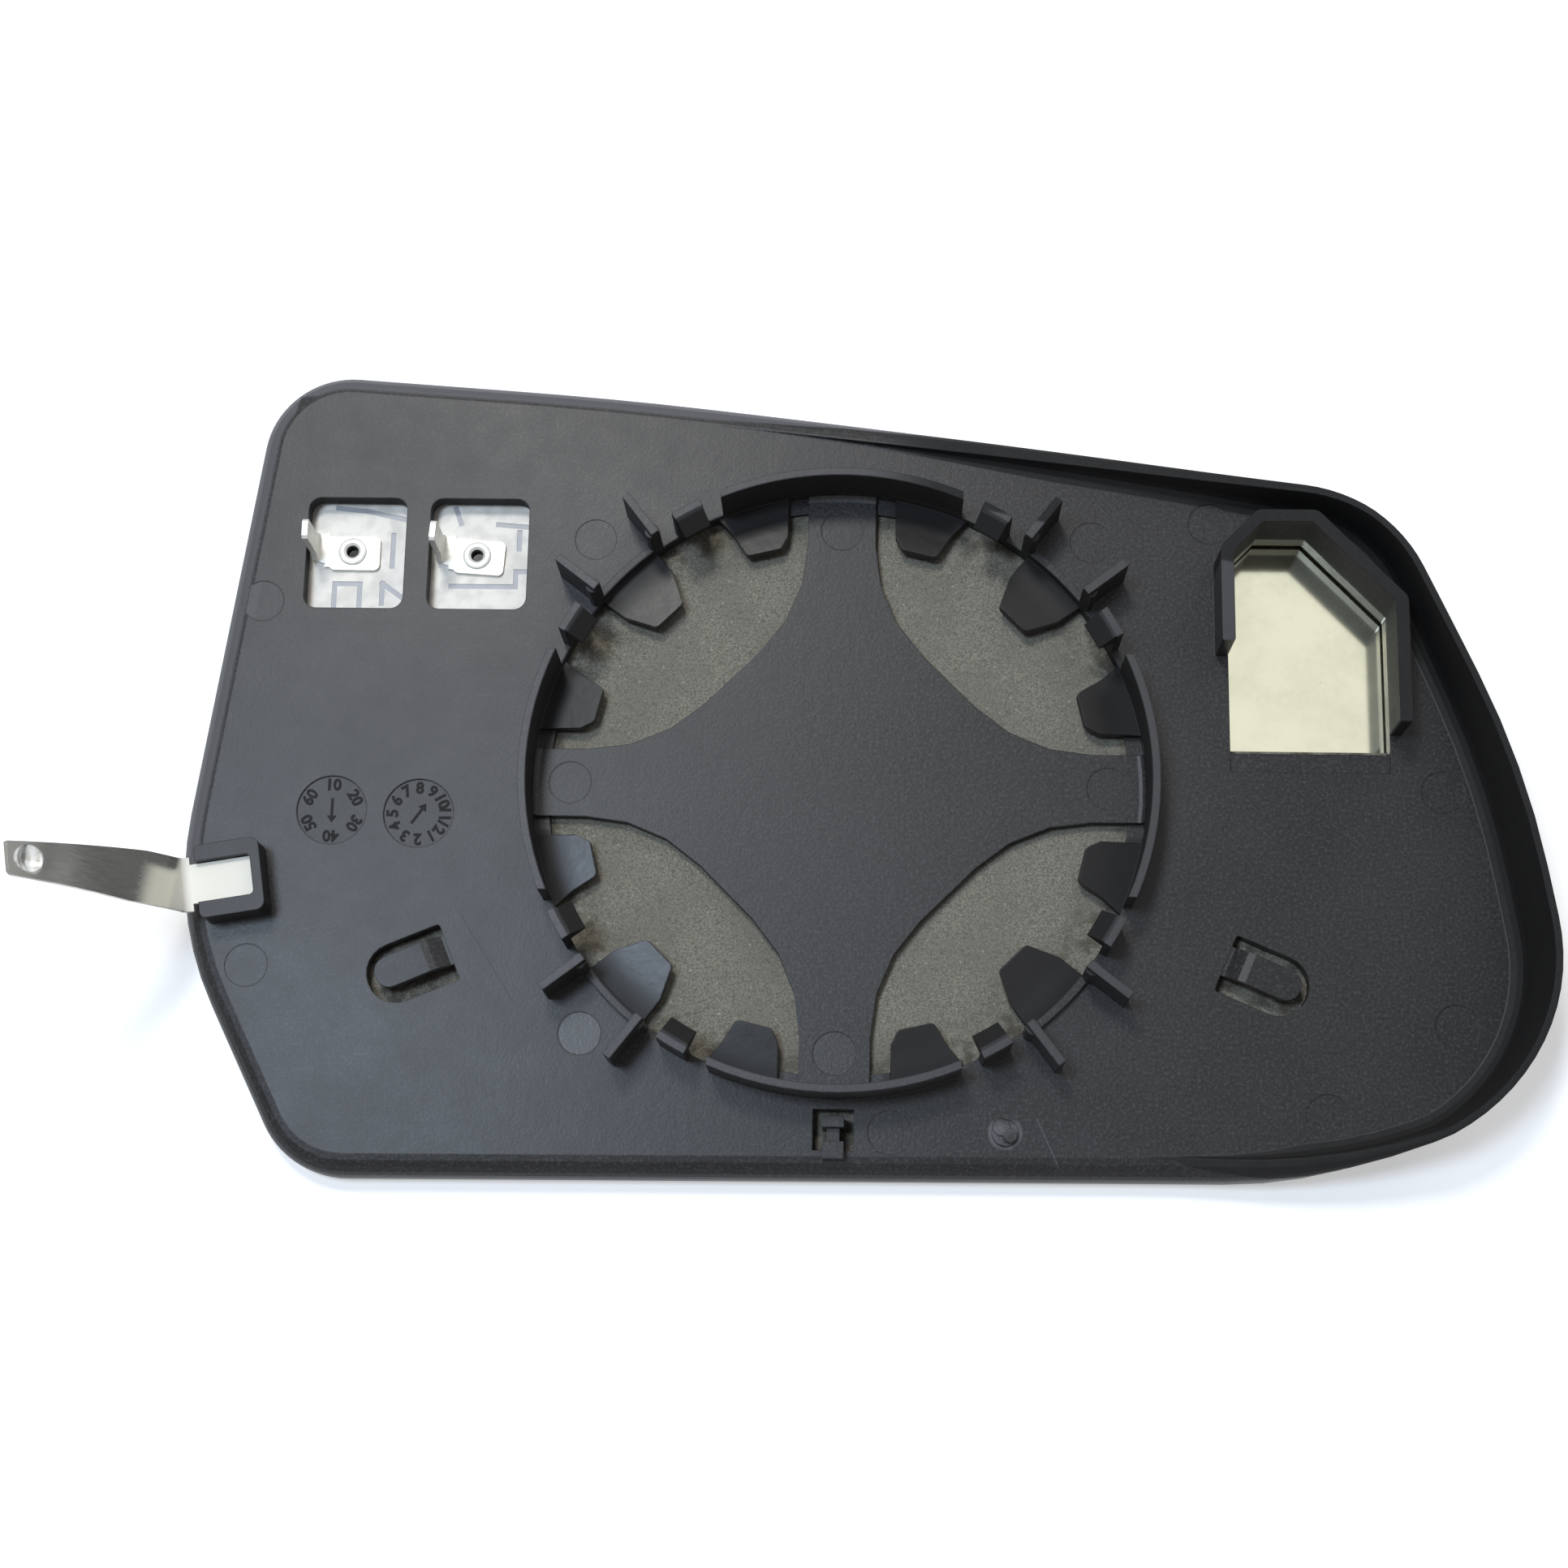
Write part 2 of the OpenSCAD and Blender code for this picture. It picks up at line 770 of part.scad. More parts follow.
module backing_plate() {
    color(plastic) {
        difference() {
            union() {
                plate_floor();
                plate_rim();
                collar_blank();
            }
            plate_cuts();
        }
        star_web();
        tongues();
        four_ways()
            for (side = [-1, 1])
                rotate(45 + side * hook_angle)
                    barb();
        two_sided()
            sprung_tab();
        indicator_frame();
        spring_holder();
        wire_clip();
        gate_mark();
    }
}

// Levels of the layers under the plate, from the back to the front
pad_top = -plate_t;
track_top = pad_top - pad_t;
film_top = track_top - track_t;
glass_top = film_top - film_t;
glass_front = glass_top - glass_t;
glass_inset = rim_wall + glass_clearance;
pad_inset = glass_inset + 1;

module layer(inset_by, low, high) {
    translate([0, 0, low])
        linear_extrude(high - low)
            polygon(inset(plate_outline, inset_by));
}

pad_lap = 0.8;

module adhesive_pad() {
    color("#7d7a6c")
        difference() {
            layer(pad_inset, track_top, pad_top);
            for (x = window_centres)
                prism(window_corners(x, 0.6), track_top - cut, pad_top + cut);
            prism(frame_window(0.5, frame_sill + pad_lap), track_top - cut, pad_top + cut);
        }
}

// A straight gap in the foil between two points
module foil_slot(a, b) {
    along = b - a;
    translate([a[0], a[1], film_top - cut])
        rotate(atan2(along[1], along[0]))
            translate([-foil_gap / 2, -foil_gap / 2, 0])
                cube([norm(along) + foil_gap, foil_gap, 3 * cut]);
}

// A chain of gaps through a list of points
module foil_slots(points) {
    for (i = [1:len(points) - 1])
        foil_slot(points[i - 1], points[i]);
}

meander_from = -40;
meander_to = 50;
meander_pitch = 12.4;

module heater_track() {
    color("#cfd2d6")
        difference() {
            layer(pad_inset + 1, film_top, track_top);
            prism(frame_window(1.5, frame_sill - 1), film_top - cut, track_top + cut);
            foil_slots([[-69.9, 25], [-69.9, 28.3], [-66.4, 28.3], [-66.4, 25]]);
            foil_slots([[-63.3, 25.5], [-63.3, 28.4], [-60, 26]]);
            foil_slots([[-62.1, 30.9], [-62.1, 35.4]]);
            foil_slots([[-70, 39.3], [-66, 38.9], [-60, 37.6]]);
            foil_slots([[-47.6, 37.1], [-42.6, 36.7]]);
            foil_slots([[-44.6, 36], [-44.6, 33.6]]);
            foil_slots([[-42.6, 30.3], [-44.9, 30.3], [-44.9, 28.1], [-53.8, 28.1]]);
            foil_slots([[-53.6, 39.4], [-52.8, 37.2]]);
            for (k = [0:floor((meander_to - meander_from) / meander_pitch)])
                let (x = meander_from + k * meander_pitch, up = k % 2 == 0 ? 1 : -1)
                foil_slot([x, up * -30], [x, up * 60]);
            for (x = window_centres)
                terminal_rivet_hole(x);
        }
}

module heater_film() {
    color("#d9d9d4")
        difference() {
            layer(pad_inset, glass_top, film_top);
            prism(frame_window(0.8, frame_sill), glass_top - cut, film_top + cut);
            for (x = window_centres)
                terminal_rivet_hole(x);
        }
}

module mirror_glass() {
    color("#b9b7a4")
        layer(glass_inset, glass_front, glass_top);
}

// Each rivet's place from its window's centre, and the turn of its terminal
rivet_off = [[-0.9, 0.9], [-0.5, 0.5]];
terminal_turn = [0, -3.8];
shank_r = rivet_hole_r + 0.35;
shank_clearance = 0.05;

function rivet_at(i) = [window_centres[i] + rivet_off[i][0], window_y + rivet_off[i][1]];

module terminal_rivet_hole(x) {
    i = x == window_centres[0] ? 0 : 1;
    translate([rivet_at(i)[0], rivet_at(i)[1], glass_top - cut])
        cylinder(r = shank_r + shank_clearance, h = 3 * cut);
}

body_back = 4.1;
body_drop = 0.2;
blade_t = 0.8;
blade_out = 5.4;
blade_up = 0.5;
shoulder_w = 0.5;
shoulder_h = 2.6;

// Outline of the terminal's flat body round the rivet, from its far upper corner
terminal_outline = [
    [terminal_l - body_back, terminal_w / 2 - body_drop, 0.8],
    [-body_back + 0.9, terminal_w / 2 - body_drop, 0.2],
    [-body_back + 0.7, terminal_w / 2 - body_drop + 0.4, 0.1],
    [-body_back + 0.1, terminal_w / 2 - body_drop + 0.3, 0.1],
    [-blade_out + 0.1, blade_up + blade_w / 2 + shoulder_w - 0.1, 0.1],
    [-blade_out + 0.1, blade_up - blade_w / 2 - shoulder_w + 0.1, 0.1],
    [-body_back + 0.3, -terminal_w / 4 - 0.5, 0.1],
    [-body_back + 0.2, -terminal_w / 4 - 1, 0.1],
    [-body_back + 0.9, -terminal_w / 4 - 1, 0.1],
    [-body_back + 1.5, -terminal_w / 2 - body_drop, 0.5],
    [terminal_l - body_back, -terminal_w / 2 - body_drop, 0.8]
];

// A stamped terminal: a flat body round the rivet and an upright blade with sloped shoulders
module heater_terminal(i) {
    low = track_top;
    half = blade_w / 2;
    wide = half + shoulder_w;
    color(silver)
        translate([rivet_at(i)[0], rivet_at(i)[1], 0])
            rotate(terminal_turn[i])
                difference() {
                    union() {
                        prism(terminal_outline, low, low + terminal_t);
                        translate([-blade_out, blade_up, low])
                            rotate([90, 0, 90])
                                linear_extrude(blade_t)
                                    polygon([
                                        [-wide, 0], [wide, 0], [wide, shoulder_h / 2], [half, shoulder_h],
                                        [half, blade_h - 0.4], [half - 0.4, blade_h],
                                        [0.4 - half, blade_h], [-half, blade_h - 0.4],
                                        [-half, shoulder_h], [-wide, shoulder_h / 2]
                                    ]);
                    }
                    translate([0, 0, low - cut])
                        cylinder(r = shank_r + shank_clearance, h = 3 * cut);
                }
}

module heater_terminal_left() {
    heater_terminal(0);
}

module heater_terminal_right() {
    heater_terminal(1);
}

eyelet_lip = 0.35;
eyelet_h = 0.32;

// A hollow rivet through the terminal, the foil and the film
module terminal_rivet(i) {
    seat = track_top + terminal_t;
    color(silver)
        translate([rivet_at(i)[0], rivet_at(i)[1], 0])
            rotate_extrude()
                polygon(concat(
                    [
                        [rivet_hole_r, glass_top],
                        [shank_r, glass_top],
                        [shank_r, seat],
                        [rivet_flange_r, seat]
                    ],
                    [
                        for (t = [0:18:90])
                        [
                            rivet_hole_r + eyelet_lip + (rivet_flange_r - rivet_hole_r - eyelet_lip) * cos(t),
                            seat + 0.1 + eyelet_h * sin(t)
                        ]
                    ],
                    [[rivet_hole_r, seat + 0.1]]
                ));
}

module terminal_rivet_left() {
    terminal_rivet(0);
}

module terminal_rivet_right() {
    terminal_rivet(1);
}

// Small overlap where the lengths of one strip run into each other
weld = 0.05;
strip_in = holder_start + holder_l - holder_wall - 0.2;
bend_centre = [0, holder_floor + spring_t + spring_bend_r];
bend_out_r = spring_bend_r + spring_t;
blade_sweep = spring_l / spring_curve_r * 180 / PI;
blade_from = 90 - spring_rise;
blade_centre = bend_centre - (bend_out_r + spring_curve_r) * [cos(blade_from), sin(blade_from)];

// A strip of the spring's thickness, curved about Y from an angle above +X
module curved_strip(centre, inner_r, from, sweep, w) {
    translate([centre[0], w / 2, centre[1]])
        rotate([90, 0, 0])
            rotate(from)
                rotate_extrude(angle = sweep, $fn = 180)
                    translate([inner_r, 0])
                        square([spring_t, w]);
}

// Sets its children on the blade's axis of curvature, with X pointing out at the given angle
module on_blade(angle) {
    translate([blade_centre[0], 0, blade_centre[1]])
        rotate([0, -angle, 0])
            translate([spring_curve_r, 0, 0])
                children();
}

// The blade's outline, tapered to its free end, as a thick prism across the blade
module blade_outline() {
    half = spring_w / 2 - weld;
    tip = spring_tip_w / 2;
    on_blade(blade_from + blade_sweep / 2)
        rotate([0, -90, 0])
            translate([-spring_l / 2, 0, 0])
                prism(
                    [
                        [-3, -half, 0], [0.36 * spring_l, -half, 3], [spring_l, -tip, 0.8],
                        [spring_l, tip, 0.2], [0.22 * spring_l, half, 3], [-3, half, 0]
                    ],
                    -4, 4
                );
}

dimple_from_tip = 3.4;

dish_r = (dimple_r * dimple_r + dimple_depth * dimple_depth) / (2 * dimple_depth);
dish_centre = spring_t - dimple_depth + dish_r;

module on_dimple() {
    on_blade(blade_from + blade_sweep * (1 - dimple_from_tip / spring_l))
        rotate([0, 90, 0])
            children();
}

// One steel strip: the tongue in its holder, a tight bend and the long curved blade
module retaining_spring() {
    color(steel)
        in_spring_frame() {
            translate([-weld, -spring_tongue_w / 2, holder_floor])
                cube([strip_in + weld, spring_tongue_w, spring_t]);
            difference() {
                union() {
                    curved_strip(bend_centre, spring_bend_r, 270 - spring_rise, spring_rise, spring_w);
                    intersection() {
                        curved_strip(
                            blade_centre, spring_curve_r, blade_from - weld, blade_sweep + weld, spring_w
                        );
                        blade_outline();
                    }
                    on_dimple()
                        intersection() {
                            translate([0, 0, dish_centre])
                                sphere(r = dish_r + 0.8 * spring_t);
                            translate([0, 0, -dimple_depth])
                                cylinder(r = 2 * dimple_r, h = dimple_depth + 0.2);
                        }
                }
                on_dimple()
                    translate([0, 0, dish_centre])
                        sphere(r = dish_r);
            }
        }
}

backing_plate();
adhesive_pad();
heater_track();
heater_film();
mirror_glass();
heater_terminal_left();
heater_terminal_right();
terminal_rivet_left();
terminal_rivet_right();
retaining_spring();
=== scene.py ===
"""Finishes and stage for the back of a heated door mirror glass.

The moulded backing plate, its foam pad, the heater's foil and film, the silvered glass, the
tinned terminals and the steel spring are solids of the frame. This file gives each of them its
finish, adds the raised numerals and arrows of the two dials, and sets up floor, lamps and camera.
"""

import math

import bpy
import numpy as np
from bpy.props import FloatProperty, FloatVectorProperty, IntProperty, PointerProperty
from mathutils import Matrix, Vector


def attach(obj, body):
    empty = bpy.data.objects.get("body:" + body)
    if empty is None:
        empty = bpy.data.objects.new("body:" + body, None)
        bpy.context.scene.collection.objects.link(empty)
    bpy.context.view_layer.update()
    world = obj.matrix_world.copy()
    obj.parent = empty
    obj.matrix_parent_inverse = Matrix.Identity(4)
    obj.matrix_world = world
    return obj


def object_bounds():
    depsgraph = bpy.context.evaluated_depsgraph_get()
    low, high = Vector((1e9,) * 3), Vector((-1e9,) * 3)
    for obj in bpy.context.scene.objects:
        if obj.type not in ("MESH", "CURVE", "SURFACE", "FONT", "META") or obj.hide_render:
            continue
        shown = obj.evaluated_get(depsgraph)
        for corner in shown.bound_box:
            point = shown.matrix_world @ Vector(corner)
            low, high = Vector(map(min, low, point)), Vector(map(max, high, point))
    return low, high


bl_info = {
    "name": "Door mirror glass, back view",
    "version": (1, 0, 0),
    "blender": (4, 5, 0),
    "location": "View3D > Sidebar > Mirror glass",
    "description": "Finishes, dial numerals, stage and camera for a heated door mirror glass",
    "category": "Object",
}

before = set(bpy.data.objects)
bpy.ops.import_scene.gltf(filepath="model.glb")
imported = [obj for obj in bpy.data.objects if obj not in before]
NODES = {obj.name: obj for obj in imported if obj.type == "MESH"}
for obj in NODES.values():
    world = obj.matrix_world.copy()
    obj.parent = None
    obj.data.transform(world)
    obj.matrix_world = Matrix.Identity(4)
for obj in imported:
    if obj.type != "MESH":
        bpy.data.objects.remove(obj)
CAD_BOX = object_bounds()

MM = 0.001
PLATE_NODE = "backing_plate"
PAD_NODE = "adhesive_pad"
TRACK_NODE = "heater_track"
FILM_NODE = "heater_film"
GLASS_NODE = "mirror_glass"
TERMINAL_NODES = ("heater_terminal_left", "heater_terminal_right")
RIVET_NODES = ("terminal_rivet_left", "terminal_rivet_right")
SPRING_NODE = "retaining_spring"

# Places on the plate in millimetres, as in the solids
OUTLINE = (
    (-79.25, 59.05), (-89.1, -18.35), (-71.2, -53.05), (63.65, -51.7),
    (93.0, -37.8), (86.9, 0.7), (72.1, 37.85), (-1.05, 53.55),
)
# Sides whose rounded rim gets a painted highlight in the plastic's finish
RIM_SIDES = (7, 0)
RIM_WIDTH = 4.2
SKIRT_SIDES = (3, 4, 5, 6)
SKIRT_WIDTH = 13
COLLAR_R = 41.05
WALL_TOP = 7.4
WEB_HALF = 6.2
TONGUE_TIP_R = 32.2
TONGUE_ROOT_R = 40.5
TONGUE_TOP = 1.6
DIAL_R = 4.7
DIAL_FLOOR_Z = -0.24
DIALS = {"left": (-67.8, -4.4), "right": (-56.1, -4.7)}
LAMP_FRAME = ((49.5, 3.5), (76.5, 38.0))
WINDOWS = ((-75.0, 24.0), (-42.0, 41.0))
RIVETS = ((-67.6, 32.8), (-50.3, 32.4))
RIVET_BORE_R = 0.85
SPRING_BEND_X = -86.6
DIMPLE = (-98.5, -17.7)
GLASS_MID_Z = -4.25

# Marks of the mould and of use, seen in the finish alone
PIN_MARKS = (
    (-33.4, -34.0), (-77.9, -25.6), (-33.7, 34.1), (33.9, 34.3), (50.0, 37.1),
    (-79.0, 24.8), (7.3, -46.3), (63.8, -43.3), (80.2, -0.1), (80.8, -31.4),
    (36.0, 0.0), (0.0, 36.0), (-36.0, 0.0), (0.0, -36.0),
)
PIN_MARK_R = 2.85
# Two of the pin marks get a painted highlight, for the light they reflect
BRIGHT_PIN_MARKS = ((-33.4, -34.0), (0.0, -36.0))
GATE = (22.2, -46.1)
GATE_R = 2.4
SCUFF = (2.2, -0.8)
NICK = (-48.2, 0.8)
SCRATCH = ((26.1, -43.8), (29.3, -50.9))
HAIRLINE = ((-50.6, -17.1), (-41.4, -31.3))

CAMERA_PLACE = (0.003545, -0.082977, 0.33822)
CAMERA_TURNS = (-13.766, -1.829, -1.147)
FLOOR_HALF = 1.5


# ---- Shader maths


class Wave:
    """A socket whose number varies over a surface. Its operators add Math nodes."""

    def __init__(self, finish, socket):
        self.finish = finish
        self.socket = socket

    def math(self, operation, *others):
        inputs = dict(enumerate((self, *others)))
        return self.finish.add("ShaderNodeMath", {"operation": operation}, inputs)

    def __add__(self, other):
        return self.math("ADD", other)

    __radd__ = __add__

    def __mul__(self, other):
        return self.math("MULTIPLY", other)

    __rmul__ = __mul__

    def __sub__(self, other):
        return self.math("SUBTRACT", other)

    def __rsub__(self, other):
        return self.finish.add("ShaderNodeMath", {"operation": "SUBTRACT"}, {0: other, 1: self})

    def __truediv__(self, other):
        return self.math("DIVIDE", other)

    def __pow__(self, other):
        return self.math("POWER", other)

    def __abs__(self):
        return self.math("ABSOLUTE")

    def step(self, low, high):
        """Rises smoothly from 0 at low to 1 at high, or falls where low is above high."""
        falls = low > high
        ends = {"From Min": min(low, high), "From Max": max(low, high)}
        rise = self.finish.add(
            "ShaderNodeMapRange", {"interpolation_type": "SMOOTHSTEP"}, {"Value": self, **ends}
        )
        return 1 - rise if falls else rise

    def other(self, name):
        """Another output of the node that this socket belongs to."""
        return Wave(self.finish, self.socket.node.outputs[name])


class Finish:
    """The nodes of one material or world, and the method that adds them."""

    def __init__(self, owner):
        owner.use_nodes = True
        self.owner = owner
        self.tree = owner.node_tree
        self.tree.nodes.clear()

    def add(self, kind, settings=None, inputs=None, out=0):
        """Adds a node: its settings first, then each input's value or link, and returns one output."""
        node = self.tree.nodes.new(kind)
        for key, value in (settings or {}).items():
            setattr(node, key, value)
        for key, value in (inputs or {}).items():
            if isinstance(value, Wave):
                self.tree.links.new(value.socket, node.inputs[key])
            else:
                node.inputs[key].default_value = value
        return Wave(self, node.outputs[out]) if node.outputs else None

    def point(self):
        """The object's own coordinates, in metres."""
        return self.add("ShaderNodeTexCoord", out="Object")

    def axes(self):
        """X, Y and Z of the point in millimetres."""
        split = self.add("ShaderNodeSeparateXYZ", inputs={0: self.point()})
        return split / MM, split.other("Y") / MM, split.other("Z") / MM

    def noise(self, grain, detail=2.0, rough=0.5, place=None):
        """Noise whose lumps are about grain millimetres across."""
        inputs = {"Vector": place or self.point(), "Scale": 1 / (grain * MM)}
        inputs |= {"Detail": detail, "Roughness": rough}
        return self.add("ShaderNodeTexNoise", inputs=inputs, out="Fac")

    def speckle(self, grain):
        """Distance to the nearest cell centre, in cells of about grain millimetres."""
        inputs = {"Vector": self.point(), "Scale": 1 / (grain * MM)}
        return self.add("ShaderNodeTexVoronoi", inputs=inputs, out="Distance")

    def blend(self, mask, a, b):
        """Colour a where the mask is 0 and colour b where it is 1."""
        sockets = {0: mask, 6: a, 7: b}
        return self.add("ShaderNodeMix", {"data_type": "RGBA"}, sockets, out=2)

    def bump(self, height, depth, strength=1.0, normal=None):
        """A relief of the height's pattern, depth millimetres deep."""
        inputs = {"Height": height, "Distance": depth * MM, "Strength": strength}
        if normal is not None:
            inputs["Normal"] = normal
        return self.add("ShaderNodeBump", inputs=inputs)

    def soft_edges(self, radius):
        """Normals that turn round every edge as if it had that radius, in millimetres."""
        return self.add("ShaderNodeBevel", {"samples": 4}, {"Radius": radius * MM})

    def surface(self, **values):
        """Ends the material in a Principled shader. Names are the sockets' names in lower case."""
        inputs = {key.replace("_", " ").title().replace("Ior", "IOR"): v for key, v in values.items()}
        shader = self.add("ShaderNodeBsdfPrincipled", inputs=inputs)
        self.add("ShaderNodeOutputMaterial", inputs={"Surface": shader})
        return self.owner


def new_finish(name):
    return Finish(bpy.data.materials.new(name))


def rgba(colour):
    """The colour with full opacity, as a colour socket takes it."""
    return (*colour[:3], 1.0)


def shade(colour, factor):
    """The colour made darker or lighter by a factor."""
    return (*(min(1.0, c * factor) for c in colour[:3]), 1.0)


def wear(node_names, material):
    """Puts one material on every slot of the named solids."""
    for name in node_names:
        mesh = NODES[name].data
        mesh.materials.clear()
        mesh.materials.append(material)


def distance_from(x, y, centre):
    """Distance in the plate's plane from a centre: the root of the summed squares."""
    dx = x - centre[0]
    dy = y - centre[1]
    return (dx * dx + dy * dy) ** 0.5


def highest(waves):
    """The largest of several masks at each point."""
    top, *others = waves
    for wave in others:
        top = top.math("MAXIMUM", wave)
    return top


def spots(x, y, centres, radius, blur):
    """1 inside a circle round any of the centres, falling to 0 over the blur inside its edge."""
    return highest(distance_from(x, y, centre).step(radius, radius - blur) for centre in centres)


def line_mask(x, y, start, end, half_width):
    """1 on the straight from start to end, and 0 beyond half_width from it."""
    length = math.dist(start, end)
    ux, uy = (end[0] - start[0]) / length, (end[1] - start[1]) / length
    along = (x - start[0]) * ux + (y - start[1]) * uy
    across = abs((y - start[1]) * ux - (x - start[0]) * uy)
    ends = along.step(0, 0.1 * length) * along.step(length, 0.9 * length)
    return across.step(half_width, 0.2 * half_width) * ends


def side_band(x, y, sides, width):
    """1 within width of the plate's sides with these numbers, by the distance to each side's line."""
    bands = []
    for i in sides:
        (ax, ay), (bx, by) = OUTLINE[i], OUTLINE[(i + 1) % len(OUTLINE)]
        length = math.dist((ax, ay), (bx, by))
        inwards = (y - ay) * ((bx - ax) / length) - (x - ax) * ((by - ay) / length)
        bands.append(inwards.step(width, width - 0.6))
    return highest(bands)


def box_mask(x, y, low, high):
    """1 inside an upright rectangle in the plate's plane."""
    across = x.step(low[0], low[0] + 0.2) * x.step(high[0], high[0] - 0.2)
    return across * y.step(low[1], low[1] + 0.2) * y.step(high[1], high[1] - 0.2)


# ---- Sizes and colours that a user would change


class FinishSettings(bpy.types.PropertyGroup):
    plastic_colour: FloatVectorProperty(
        name="Plastic", description="Colour of the moulded backing plate",
        subtype="COLOR", size=3, min=0, max=1, default=(0.0115, 0.0112, 0.0120),
    )
    plastic_roughness: FloatProperty(
        name="Plastic roughness", description="How matt the backing plate is",
        subtype="FACTOR", min=0.1, max=0.9, default=0.385,
    )
    plastic_gloss: FloatProperty(
        name="Plastic gloss", description="How strongly the backing plate reflects",
        subtype="FACTOR", min=0.1, max=1.0, default=0.27,
    )
    grain_size: FloatProperty(
        name="Plastic grain", description="Width of the grain of the moulded face, in millimetres",
        min=0.1, max=1.0, default=0.42,
    )
    edge_radius: FloatProperty(
        name="Soft edges", description="Radius that the moulded edges show, in millimetres",
        min=0.05, max=0.6, default=0.22,
    )
    foam_colour: FloatVectorProperty(
        name="Foam", description="Colour of the foam pad",
        subtype="COLOR", size=3, min=0, max=1, default=(0.195, 0.182, 0.148),
    )
    foil_colour: FloatVectorProperty(
        name="Foil", description="Colour of the heater's foil",
        subtype="COLOR", size=3, min=0, max=1, default=(0.80, 0.76, 0.69),
    )
    film_colour: FloatVectorProperty(
        name="Film", description="Colour of the film that carries the foil",
        subtype="COLOR", size=3, min=0, max=1, default=(0.33, 0.335, 0.36),
    )
    silver_colour: FloatVectorProperty(
        name="Mirror", description="Colour of the glass's silvering, seen from its back",
        subtype="COLOR", size=3, min=0, max=1, default=(0.76, 0.75, 0.58),
    )
    tin_colour: FloatVectorProperty(
        name="Tinned metal", description="Colour of the terminals and rivets",
        subtype="COLOR", size=3, min=0, max=1, default=(0.80, 0.79, 0.74),
    )
    steel_colour: FloatVectorProperty(
        name="Spring steel", description="Colour of the retaining spring",
        subtype="COLOR", size=3, min=0, max=1, default=(0.66, 0.65, 0.59),
    )


class DialSettings(bpy.types.PropertyGroup):
    numeral_size: FloatProperty(
        name="Numeral size", description="Type size of the dials' numerals, in millimetres",
        min=0.8, max=2.6, default=2.15,
    )
    relief: FloatProperty(
        name="Relief", description="How far numerals and arrows stand up, in millimetres",
        min=0.05, max=0.3, default=0.12,
    )
    months: IntProperty(
        name="Right dial", description="How many numerals the right dial has",
        min=4, max=12, default=12,
    )
    tens: IntProperty(
        name="Left dial", description="How many numerals the left dial has",
        min=3, max=9, default=6,
    )


class StageSettings(bpy.types.PropertyGroup):
    floor_colour: FloatVectorProperty(
        name="Floor", description="Colour of the floor",
        subtype="COLOR", size=3, min=0, max=1, default=(0.78, 0.78, 0.78),
    )
    softbox_power: FloatProperty(
        name="Softbox", description="Power of the softbox at the upper left",
        subtype="POWER", min=0, default=5.3,
    )
    window_power: FloatProperty(
        name="Window lamp", description="Power of the cool lamp at the left",
        subtype="POWER", min=0, default=5.6,
    )
    fill_power: FloatProperty(
        name="Fill lamp", description="Power of the large dim lamp at the upper right",
        subtype="POWER", min=0, default=4.0,
    )
    lens: FloatProperty(
        name="Lens", description="Focal length on a 36 mm wide sensor",
        subtype="DISTANCE_CAMERA", min=10, default=59.866,
    )


# ---- Finishes


